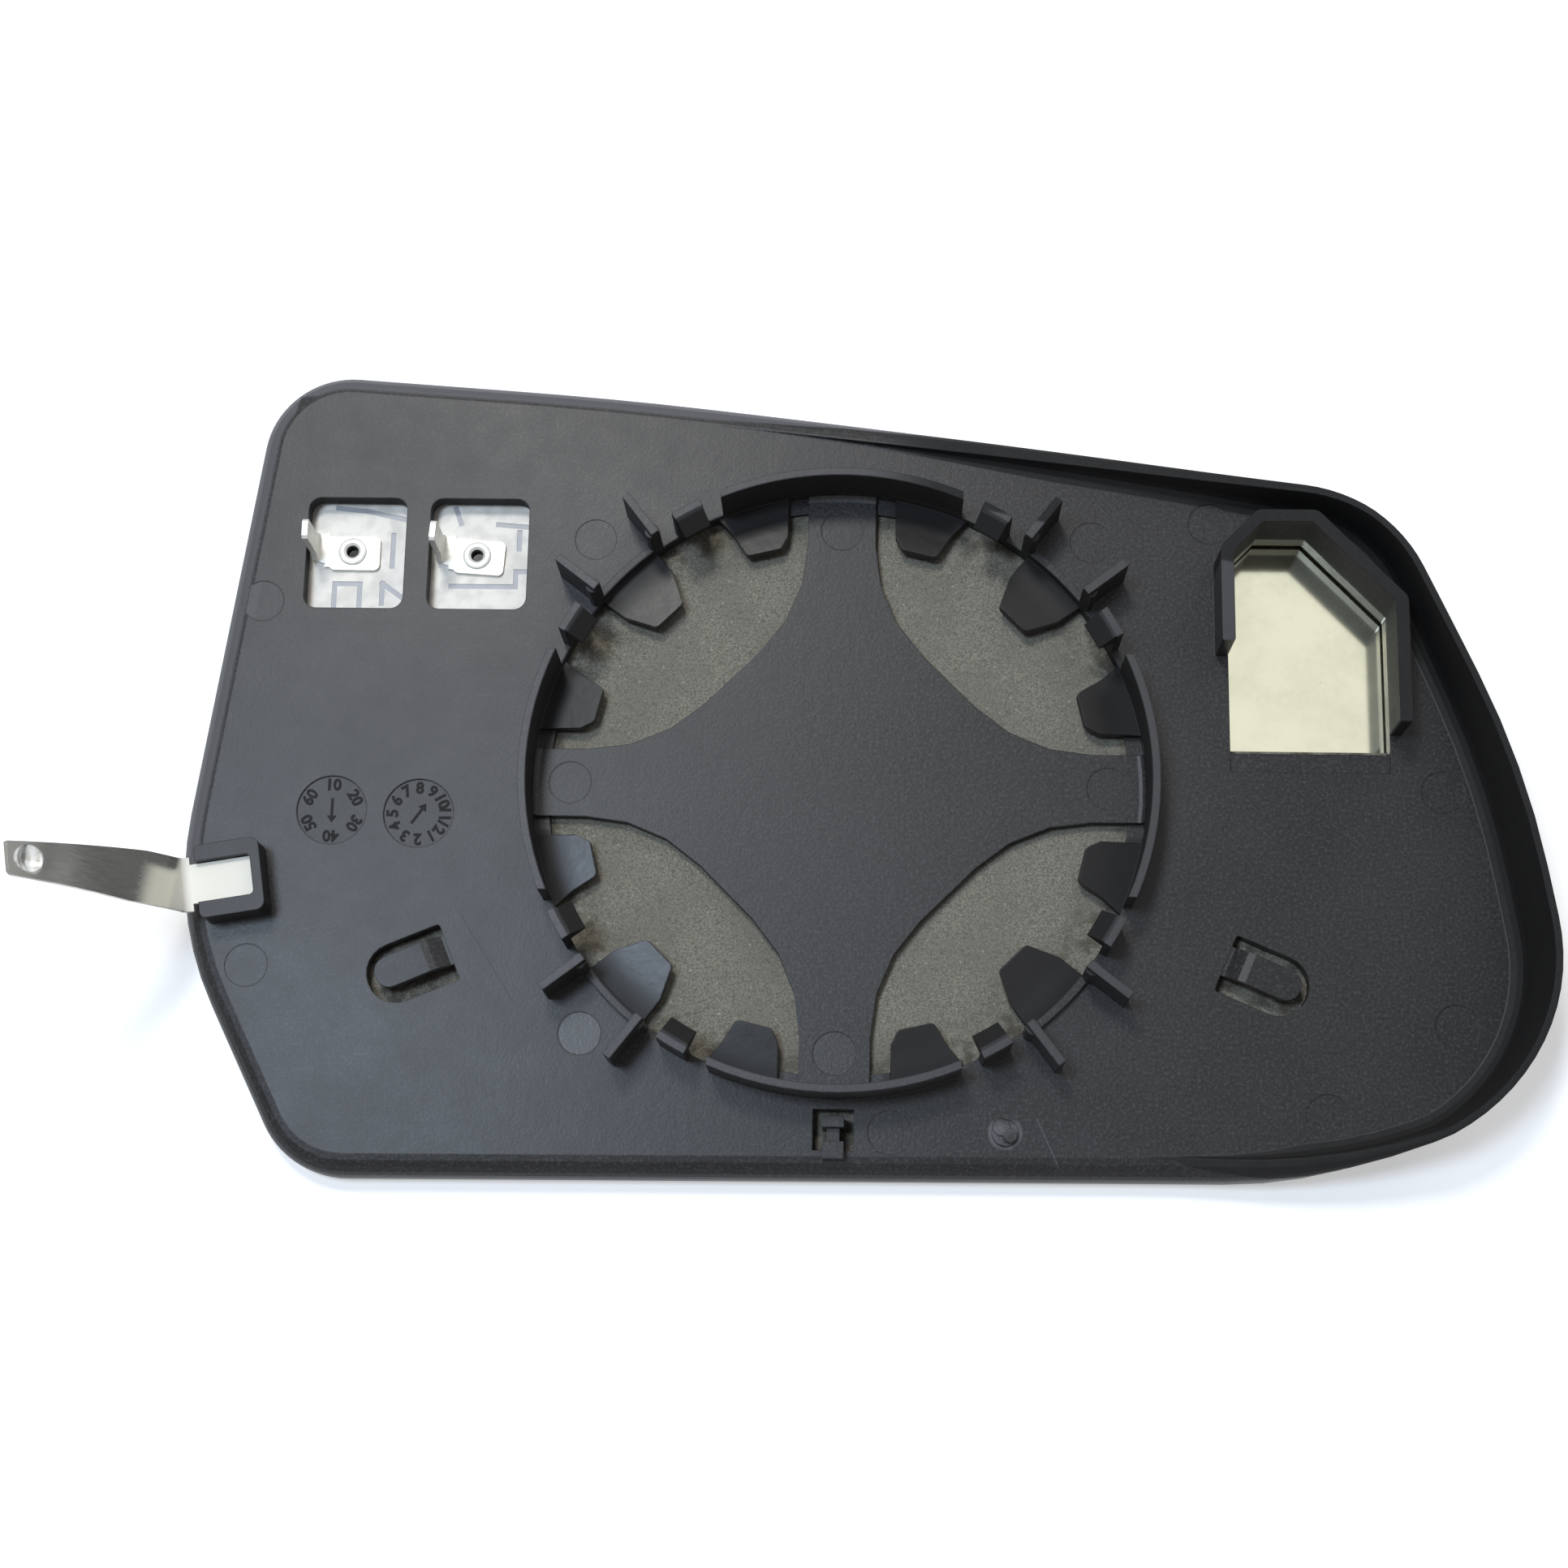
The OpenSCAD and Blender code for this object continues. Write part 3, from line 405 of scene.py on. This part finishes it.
def plastic_finish(settings):
    """Satin moulded plastic: fine grain, cloudy sheen, faint pin marks, scuffs and scratches, with painted
    highlights on the rim, the tops and two pin marks, and painted shade on the walls, wells and tongues.
    """
    f = new_finish("black_moulded_plastic")
    x, y, z = f.axes()
    base = rgba(settings.plastic_colour)
    cloud = f.noise(26, detail=4, rough=0.55)
    smoky = f.noise(4.5, detail=5, rough=0.62)
    fine = f.noise(settings.grain_size, detail=3, rough=0.6)

    # Marks
    face = z.step(-1.0, -0.7) * z.step(0.25, 0.05)
    rings = highest(abs(distance_from(x, y, mark) - PIN_MARK_R).step(0.16, 0.02) for mark in PIN_MARKS)
    pin_mark_glints = spots(x, y, BRIGHT_PIN_MARKS, PIN_MARK_R, 0.2)
    gate = spots(x, y, (GATE,), GATE_R, 0.4)
    dials = spots(x, y, DIALS.values(), DIAL_R + 0.1, 0.4)
    rubbed = f.noise(1.1, detail=4, rough=0.65)
    scuff = spots(x, y, (SCUFF,), 2.4, 2.2) * rubbed.step(0.5, 0.62)
    nick = spots(x, y, (NICK,), 1.2, 1.0) * rubbed.step(0.42, 0.55)
    scratch = line_mask(x, y, *SCRATCH, 0.11)
    hairline = line_mask(x, y, *HAIRLINE, 0.12)

    # Parts of the moulding
    from_axis = distance_from(x, y, (0, 0))
    beyond_tips = from_axis.step(TONGUE_TIP_R, TONGUE_TIP_R + 0.4)
    beside_web = abs(x).step(WEB_HALF, WEB_HALF + 0.6) * abs(y).step(WEB_HALF, WEB_HALF + 0.6)
    tongues = beyond_tips * from_axis.step(COLLAR_R + 0.25, COLLAR_R + 0.05) * beside_web
    tongues = tongues * z.step(TONGUE_TOP, TONGUE_TOP - 0.4)
    tongue_roots = tongues * from_axis.step(TONGUE_ROOT_R - 4.5, TONGUE_ROOT_R)
    grained = 1 - tongues
    above = z.step(0.05, 0.2)
    skirt = side_band(x, y, SKIRT_SIDES, SKIRT_WIDTH) * z.step(0.005, 0.04) * x.step(2, 14)
    # Painted light: the tops of the walls, fins and hooks painted lighter, as lit from above
    tops = z.step(WALL_TOP - 0.4, WALL_TOP - 0.1) * (1 - skirt)
    collar_inside = from_axis.step(COLLAR_R + 0.2, COLLAR_R) * beyond_tips * grained * above
    lamp_frame = box_mask(x, y, *LAMP_FRAME) * above * z.step(WALL_TOP - 0.1, WALL_TOP - 0.3)
    wells = box_mask(x, y, *WINDOWS) * z.step(-0.06, -0.2)
    # Painted shade: the skirt's inner face and foot, the collar's inner wall, faintly the lamp frame's
    # walls, and the window wells, all painted near black
    painted_wall_shade = highest((skirt, collar_inside, lamp_frame * 0.15, wells))
    # Painted highlight: the rounded rim along the top and left sides, painted much lighter for the white
    # floor it reflects
    rim = side_band(x, y, RIM_SIDES, RIM_WIDTH) * z.step(-0.02, -0.15) * z.step(-1.5, -1.0)

    # Finish
    colour = f.blend(cloud.step(0.35, 0.68), shade(base, 0.8), shade(base, 1.25))
    colour = f.blend(fine.step(0.5, 0.3) * grained * 0.8, colour, shade(base, 0.25))
    colour = f.blend(fine.step(0.5, 0.68) * grained * 0.8, colour, shade(base, 3.6))
    colour = f.blend(rim, colour, shade(base, 8.0))
    colour = f.blend(painted_wall_shade, colour, shade(base, 0.2))
    # Painted shade: the tongues painted darker than the plate they are moulded with
    colour = f.blend(tongues, colour, shade(base, 0.6))
    colour = f.blend(tops, colour, shade(base, 3.0))
    # Painted highlight: two real pin marks painted lighter for the light they reflect
    colour = f.blend((pin_mark_glints * face) * 0.6, colour, shade(base, 6.0))
    colour = f.blend(gate * smoky.step(0.35, 0.65) * 0.6, colour, shade(base, 14.0))
    colour = f.blend((scuff + nick) * 0.75, colour, shade(base, 0.2))
    colour = f.blend(scratch * 0.6, colour, shade(base, 10.0))
    colour = f.blend((rings * face) * 0.2, colour, shade(base, 0.3))

    walls = z.step(0.5, 1.2) * grained
    rough = settings.plastic_roughness + (cloud - 0.5) * 0.12 + (smoky - 0.5) * 0.08
    rough = rough + (fine - 0.5) * 0.20 * grained + walls * 0.04 + dials * 0.03
    rough = rough + hairline * 0.06 - pin_mark_glints * 0.05 - tongues * 0.08
    rough = rough + tongue_roots * 0.25 + painted_wall_shade * 0.3
    edges = f.soft_edges(settings.edge_radius)
    relief = fine * (1 - tongues * 0.85) + f.noise(1.4, detail=2) * 0.8
    normal = f.bump(relief, 0.03, 0.7, edges)
    return f.surface(
        base_color=colour, roughness=rough, specular_ior_level=settings.plastic_gloss, normal=normal
    )


def dial_finish(settings):
    """The plate's plastic for the raised lettering: duller, and painted darker as painted shade on the
    numerals and arrows.
    """
    f = new_finish("dial_lettering_plastic")
    # Painted shade: half the plate's colour
    base = shade(settings.plastic_colour, 0.5)
    fine = f.noise(settings.grain_size, detail=3)
    colour = f.blend(fine, shade(base, 0.7), shade(base, 1.3))
    normal = f.bump(fine, 0.01, 0.5)
    return f.surface(base_color=colour, roughness=0.66, specular_ior_level=0.2, normal=normal)


def foam_finish(settings):
    """Closed-cell foam: small cells, light and dark specks, and dusty dark smudges towards the collar that
    are partly painted shade of the collar and tongues.
    """
    f = new_finish("grey_foam")
    x, y, _ = f.axes()
    base = rgba(settings.foam_colour)
    cells = f.noise(0.26, detail=3, rough=0.6)
    cloud = f.noise(9, detail=3)
    pale = f.speckle(1.5).step(0.16, 0.05)
    dark = f.noise(0.8, detail=4, rough=0.7).step(0.56, 0.66)
    # Dirt and painted shade: dark smudges growing towards the collar, where the tongues and collar shade
    # the foam
    dust_and_shade = f.noise(2.4, detail=4, rough=0.65).step(0.42, 0.62)
    dust_and_shade = dust_and_shade * distance_from(x, y, (0, 0)).step(TONGUE_TIP_R + 0.8, TONGUE_ROOT_R)
    colour = f.blend(cells.step(0.3, 0.7), shade(base, 0.62), shade(base, 1.38))
    colour = f.blend(cloud.step(0.4, 0.65) * 0.4, colour, shade(base, 0.75))
    colour = f.blend(dark * 0.5, colour, shade(base, 0.45))
    colour = f.blend(pale * 0.5, colour, shade(base, 2.1))
    colour = f.blend(dust_and_shade * 0.7, colour, (0.045, 0.036, 0.024, 1.0))
    normal = f.bump(cells + dark * 0.5, 0.05, 0.6)
    return f.surface(base_color=colour, roughness=0.88, specular_ior_level=0.3, normal=normal)


def foil_finish(settings):
    """Thin rolled foil with slight dents from the film under it."""
    f = new_finish("heater_foil")
    base = rgba(settings.foil_colour)
    dents = f.noise(2.2, detail=3)
    colour = f.blend(dents.step(0.35, 0.65), shade(base, 0.88), shade(base, 1.08))
    normal = f.bump(dents + f.noise(0.3) * 0.3, 0.03, 0.5)
    return f.surface(base_color=colour, roughness=0.5, specular_ior_level=0.4, normal=normal)


def film_finish(settings):
    """Milky plastic film."""
    f = new_finish("heater_film_plastic")
    base = rgba(settings.film_colour)
    cloud = f.noise(1.6, detail=3)
    colour = f.blend(cloud, shade(base, 0.86), shade(base, 1.14))
    return f.surface(base_color=colour, roughness=0.4, normal=f.bump(cloud, 0.02, 0.4))


def glass_finish(settings):
    """Silvering seen from its back, yellowish and slightly hazy, and the clear mirror on the front."""
    f = new_finish("mirror_silver")
    x, y, z = f.axes()
    base = rgba(settings.silver_colour)
    haze = f.noise(9, detail=5, rough=0.65)
    back = z.step(GLASS_MID_Z - 0.2, GLASS_MID_Z + 0.2)
    specks = f.speckle(3.1).step(0.07, 0.03)
    rivet_bore_shade = spots(x, y, RIVETS, 1.4, 0.2)
    colour = f.blend(haze.step(0.35, 0.65), shade(base, 0.92), shade(base, 1.04))
    colour = f.blend(specks * 0.35, colour, shade(base, 0.6))
    # Painted shade: the silvering painted black under the rivets, at the bottom of their bores
    colour = f.blend(rivet_bore_shade, colour, (0.01, 0.01, 0.01, 1.0))
    colour = f.blend(back, (0.90, 0.92, 0.92, 1.0), colour)
    rough = 0.03 + back * (0.06 + haze * 0.04)
    normal = f.bump(haze * back, 0.01, 0.15)
    return f.surface(base_color=colour, metallic=1.0, roughness=rough, coat_weight=0.2, normal=normal)


def tin_finish(settings):
    """Tinned sheet metal with a soft sheen, a few dull spots and shaded rivet bores."""
    f = new_finish("tinned_metal")
    x, y, _ = f.axes()
    base = rgba(settings.tin_colour)
    dull = f.noise(0.9, detail=4)
    bores = spots(x, y, RIVETS, RIVET_BORE_R + 0.04, 0.06)
    colour = f.blend(dull.step(0.4, 0.7), base, shade(base, 0.86))
    # Painted shade: the rivet bores painted near black
    colour = f.blend(bores, colour, (0.015, 0.015, 0.015, 1.0))
    edges = f.soft_edges(0.12)
    normal = f.bump(f.noise(0.25), 0.006, 0.4, edges)
    return f.surface(base_color=colour, metallic=0.4, roughness=0.42 + dull * 0.12, normal=normal)


def steel_finish(settings):
    """Cold-rolled spring steel: fine lines along the strip and a grainy, smoky sheen, with painted
    reflections: a pale held end, a cream glare by the bend, a darker far end and a glint in the dimple.
    """
    f = new_finish("spring_steel")
    x, y, _ = f.axes()
    base = rgba(settings.steel_colour)
    held = x.step(SPRING_BEND_X - 0.3, SPRING_BEND_X + 0.3)
    glare = x.step(SPRING_BEND_X - 3.1, SPRING_BEND_X - 1.3) * y.step(-13.6, -15.0) * (1 - held)
    dimple = distance_from((x - DIMPLE[0]) * 1.35 + DIMPLE[0], y, DIMPLE).step(1.8, 1.5)
    far_end_dark_reflection = x.step(-95.0, -97.5) * (1 - dimple)
    turned = {"Rotation": (0.0, 0.0, math.radians(-9.8)), "Scale": (1.0, 9.0, 1.0)}
    along = f.add("ShaderNodeMapping", inputs={"Vector": f.point(), **turned})
    lines = f.noise(1.6, detail=4, rough=0.6, place=along)
    grain = f.noise(0.22, detail=2)
    shine = f.noise(0.9, detail=3).step(0.4, 0.6)
    colour = f.blend(lines.step(0.3, 0.7), shade(base, 0.84), shade(base, 1.06))
    colour = f.blend(grain.step(0.5, 0.7) * 0.4, colour, shade(base, 0.6))
    # Painted reflection: the far end painted darker, for the dark surroundings its steep face reflects
    colour = f.blend(far_end_dark_reflection * 0.8, colour, shade(base, 0.35))
    # Painted reflection: the flat end in the holder, paler and matt, for the overhead light it reflects
    colour = f.blend(held * 0.9, colour, (0.80, 0.77, 0.68, 1.0))
    # Painted glare: a cream patch of reflected light just past the bend
    colour = f.blend(glare * 0.95, colour, (1.0, 0.95, 0.78, 1.0))
    # Painted highlight: a bright glint in the dimple
    colour = f.blend(dimple * shine * 0.8, colour, (0.95, 0.95, 0.93, 1.0))
    normal = f.bump(lines + grain * 0.4, 0.005, 0.35, f.soft_edges(0.1))
    rough = 0.19 + lines * 0.1 + held * 0.45 + glare * 0.3
    metal = 0.8 - held * 0.7 - glare * 0.7 - dimple * 0.3
    return f.surface(base_color=colour, metallic=metal, roughness=rough, normal=normal)


# ---- Dials


def mesh_of_text(words, size, depth):
    """Vertices and faces of words in the built-in face, centred on the origin, depth thick."""
    curve = bpy.data.curves.new("numeral_curve", "FONT")
    curve.body = words
    curve.size = size
    curve.extrude = depth / 2
    curve.offset = 0.03 * size
    curve.resolution_u = 3
    curve.align_x = "CENTER"
    curve.align_y = "CENTER"
    holder = bpy.data.objects.new("numeral_curve", curve)
    bpy.context.scene.collection.objects.link(holder)
    bpy.context.view_layer.update()
    mesh = bpy.data.meshes.new_from_object(holder.evaluated_get(bpy.context.evaluated_depsgraph_get()))
    points = np.zeros(len(mesh.vertices) * 3)
    mesh.vertices.foreach_get("co", points)
    faces = [tuple(p.vertices) for p in mesh.polygons]
    bpy.data.objects.remove(holder)
    bpy.data.curves.remove(curve)
    bpy.data.meshes.remove(mesh)
    return points.reshape(-1, 3), faces


def placed(points, angle, centre, level):
    """Points turned by an angle in the plate's plane, then moved to a centre and a level."""
    c, s = math.cos(angle), math.sin(angle)
    turn = np.array([[c, -s, 0], [s, c, 0], [0, 0, 1]])
    return points @ turn.T + np.array([centre[0], centre[1], level])


def arrow_solid(length, width, head, depth):
    """An arrow along +Y as a closed prism: its outline's corners at two levels, joined by quads."""
    h, w = length / 2, width / 2
    outline = np.array([
        (-w, -h), (w, -h), (w, h - head), (head * 0.7, h - head),
        (0, h), (-head * 0.7, h - head), (-w, h - head),
    ])
    n = len(outline)
    points = np.vstack([np.c_[outline, np.full(n, level)] for level in (-depth / 2, depth / 2)])
    sides = [(i, (i + 1) % n, n + (i + 1) % n, n + i) for i in range(n)]
    return points, [tuple(range(n - 1, -1, -1)), tuple(range(n, 2 * n)), *sides]


def join_solids(parts):
    """One list of points and faces out of several."""
    points, faces, base = [], [], 0
    for p, f in parts:
        points.append(p)
        faces.extend(tuple(i + base for i in face) for face in f)
        base += len(p)
    return np.vstack(points), faces


def new_piece(name, points, faces, material):
    """A mesh object in metres, from points in millimetres, that rides on the root body."""
    mesh = bpy.data.meshes.new(name)
    mesh.from_pydata((points * MM).tolist(), [], faces)
    mesh.validate()
    mesh.update()
    mesh.materials.append(material)
    piece = bpy.data.objects.new(name, mesh)
    bpy.context.scene.collection.objects.link(piece)
    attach(piece, "root")
    return piece


def dial(name, centre, labels, first_angle, arrow_angle, settings, material):
    """Numerals round a circle, tops outwards, and an arrow in its middle, both raised by the relief."""
    ring_r = 0.735 * DIAL_R
    level = DIAL_FLOOR_Z + settings.relief / 2
    parts = []
    for k, label in enumerate(labels):
        angle = first_angle - 2 * math.pi * k / len(labels)
        place = (centre[0] + ring_r * math.cos(angle), centre[1] + ring_r * math.sin(angle))
        points, faces = mesh_of_text(label, settings.numeral_size, settings.relief)
        parts.append((placed(points, angle - math.pi / 2, place, level), faces))
    points, faces = join_solids(parts)
    new_piece(f"dial_numerals_{name}", points, faces, material)
    points, faces = arrow_solid(0.7 * DIAL_R, 0.32, 0.9, settings.relief)
    points = placed(points, arrow_angle, centre, level)
    new_piece(f"dial_arrow_{name}", points, faces, material)


# ---- Operators


class MIRRORGLASS_OT_plastic(bpy.types.Operator):
    """Gives the backing plate its moulded plastic"""

    bl_idname = "mirrorglass.plastic"
    bl_label = "Backing plate"

    def execute(self, context):
        wear((PLATE_NODE,), plastic_finish(context.scene.mirror_finishes))
        return {"FINISHED"}


class MIRRORGLASS_OT_foam(bpy.types.Operator):
    """Gives the pad between plate and heater its foam"""

    bl_idname = "mirrorglass.foam"
    bl_label = "Foam pad"

    def execute(self, context):
        wear((PAD_NODE,), foam_finish(context.scene.mirror_finishes))
        return {"FINISHED"}


class MIRRORGLASS_OT_heater(bpy.types.Operator):
    """Gives the heater its foil and film"""

    bl_idname = "mirrorglass.heater"
    bl_label = "Heater foil and film"

    def execute(self, context):
        settings = context.scene.mirror_finishes
        wear((TRACK_NODE,), foil_finish(settings))
        wear((FILM_NODE,), film_finish(settings))
        return {"FINISHED"}


class MIRRORGLASS_OT_glass(bpy.types.Operator):
    """Gives the glass its silvering"""

    bl_idname = "mirrorglass.glass"
    bl_label = "Mirror glass"

    def execute(self, context):
        wear((GLASS_NODE,), glass_finish(context.scene.mirror_finishes))
        return {"FINISHED"}


class MIRRORGLASS_OT_terminals(bpy.types.Operator):
    """Gives the heater's terminals and rivets their tinned metal"""

    bl_idname = "mirrorglass.terminals"
    bl_label = "Terminals and rivets"

    def execute(self, context):
        wear((*TERMINAL_NODES, *RIVET_NODES), tin_finish(context.scene.mirror_finishes))
        return {"FINISHED"}


class MIRRORGLASS_OT_spring(bpy.types.Operator):
    """Gives the retaining spring its steel"""

    bl_idname = "mirrorglass.spring"
    bl_label = "Retaining spring"

    def execute(self, context):
        wear((SPRING_NODE,), steel_finish(context.scene.mirror_finishes))
        return {"FINISHED"}


class MIRRORGLASS_OT_dials(bpy.types.Operator):
    """Adds the raised numerals and arrows of the two dials"""

    bl_idname = "mirrorglass.dials"
    bl_label = "Dial numerals"

    def execute(self, context):
        settings = context.scene.mirror_dials
        material = dial_finish(context.scene.mirror_finishes)
        right = [str(k + 1) for k in range(settings.months)]
        left = [str(10 * (k + 1)) for k in range(settings.tens)]
        dial("right", DIALS["right"], right, math.radians(-60), math.radians(-35), settings, material)
        dial("left", DIALS["left"], left, math.radians(90), math.pi, settings, material)
        return {"FINISHED"}


# ---- Stage


def look_at(place, target):
    """A matrix at place whose -Z points at target."""
    aim = Vector(target) - Vector(place)
    return Matrix.Translation(place) @ aim.to_track_quat("-Z", "Y").to_matrix().to_4x4()


def add_lamp(name, place, target, size, power, colour):
    """A rectangular area lamp, size metres wide and high."""
    data = bpy.data.lights.new(name, "AREA")
    data.shape = "RECTANGLE"
    data.size, data.size_y = size
    data.energy = power
    data.color = colour
    lamp = bpy.data.objects.new(name, data)
    lamp.matrix_world = look_at(place, target)
    bpy.context.scene.collection.objects.link(lamp)
    return lamp


def seen_rays(f):
    """1 for rays that show the background itself: the camera's, reflected and passed ones."""
    path = f.add("ShaderNodeLightPath", out="Is Camera Ray")
    seen = path.math("MAXIMUM", path.other("Is Glossy Ray"))
    return seen.math("MAXIMUM", path.other("Is Transmission Ray"))


def floor_finish(settings):
    """Pale floor: plain diffuse, lifted towards white where it is seen directly."""
    f = new_finish("pale_floor")
    base = rgba(settings.floor_colour)
    glow = f.blend(seen_rays(f), (0, 0, 0, 1), (1, 1, 1, 1))
    return f.surface(
        base_color=base, roughness=1.0, specular_ior_level=0.0, emission_color=glow, emission_strength=0.45
    )


def world_finish():
    """White where it is seen, reflected or passed on, and a dim fill for everything else."""
    f = Finish(bpy.data.worlds.new("studio"))
    dim = f.add("ShaderNodeBackground", inputs={"Color": (0.9, 0.93, 1.0, 1.0), "Strength": 0.12})
    white = f.add("ShaderNodeBackground", inputs={"Color": (1, 1, 1, 1), "Strength": 1.0})
    mixed = f.add("ShaderNodeMixShader", inputs={0: seen_rays(f), 1: dim, 2: white})
    f.add("ShaderNodeOutputWorld", inputs={"Surface": mixed})
    return f.owner


def camera_matrix():
    """The camera's place and turn: the plate turned about Y, then X, then Z before a level camera."""
    rx, ry, rz = (math.radians(a) for a in CAMERA_TURNS)
    turn = Matrix.Rotation(rz, 3, "Z") @ Matrix.Rotation(rx, 3, "X") @ Matrix.Rotation(ry, 3, "Y")
    return Matrix.Translation(CAMERA_PLACE) @ turn.transposed().to_4x4()


class MIRRORGLASS_OT_stage(bpy.types.Operator):
    """Adds the floor, the lamps, the world and the camera"""

    bl_idname = "mirrorglass.stage"
    bl_label = "Stage"

    def execute(self, context):
        settings = context.scene.mirror_stage
        low, half = CAD_BOX[0][2], FLOOR_HALF
        mesh = bpy.data.meshes.new("floor")
        corners = [(-half, -half, low), (half, -half, low), (half, half, low), (-half, half, low)]
        mesh.from_pydata(corners, [], [(0, 1, 2, 3)])
        mesh.materials.append(floor_finish(settings))
        floor = bpy.data.objects.new("floor", mesh)
        context.scene.collection.objects.link(floor)

        warm, cool, plain = (1.0, 0.985, 0.95), (0.68, 0.82, 1.0), (1.0, 1.0, 1.0)
        aim = (0, 0, 0)
        add_lamp("softbox", (-0.20, 0.50, 1.0), aim, (0.2, 0.2), settings.softbox_power, warm)
        add_lamp("window_lamp", (-0.31, 0.06, 1.0), aim, (0.22, 0.22), settings.window_power, cool)
        add_lamp("fill", (0.9, 0.9, 0.9), aim, (0.8, 0.8), settings.fill_power, plain)
        context.scene.world = world_finish()

        data = bpy.data.cameras.new("camera")
        data.sensor_width = 36.0
        data.lens = settings.lens
        data.clip_start = 0.01
        camera = bpy.data.objects.new("camera", data)
        camera.matrix_world = camera_matrix()
        context.scene.collection.objects.link(camera)
        context.scene.camera = camera
        context.scene.view_settings.view_transform = "Standard"
        return {"FINISHED"}


# ---- Panel and start

OPERATORS = (
    MIRRORGLASS_OT_stage,
    MIRRORGLASS_OT_plastic,
    MIRRORGLASS_OT_foam,
    MIRRORGLASS_OT_heater,
    MIRRORGLASS_OT_glass,
    MIRRORGLASS_OT_terminals,
    MIRRORGLASS_OT_spring,
    MIRRORGLASS_OT_dials,
)
SETTINGS = {
    "mirror_finishes": FinishSettings,
    "mirror_dials": DialSettings,
    "mirror_stage": StageSettings,
}


class MIRRORGLASS_PT_panel(bpy.types.Panel):
    """Lists the sizes, colours and pieces of the mirror glass"""

    bl_label = "Mirror glass"
    bl_idname = "MIRRORGLASS_PT_panel"
    bl_space_type = "VIEW_3D"
    bl_region_type = "UI"
    bl_category = "Mirror glass"

    def draw(self, context):
        for key in SETTINGS:
            group = getattr(context.scene, key)
            for name in group.__annotations__:
                self.layout.prop(group, name)
        for operator in OPERATORS:
            self.layout.operator(operator.bl_idname)


def register():
    for cls in (*SETTINGS.values(), *OPERATORS, MIRRORGLASS_PT_panel):
        bpy.utils.register_class(cls)
    for key, cls in SETTINGS.items():
        setattr(bpy.types.Scene, key, PointerProperty(type=cls))


def unregister():
    for key in SETTINGS:
        delattr(bpy.types.Scene, key)
    for cls in (MIRRORGLASS_PT_panel, *reversed(OPERATORS), *SETTINGS.values()):
        bpy.utils.unregister_class(cls)


def main():
    register()
    for operator in OPERATORS:
        group, name = operator.bl_idname.split(".")
        getattr(getattr(bpy.ops, group), name)()


if __name__ == "__main__":
    main()
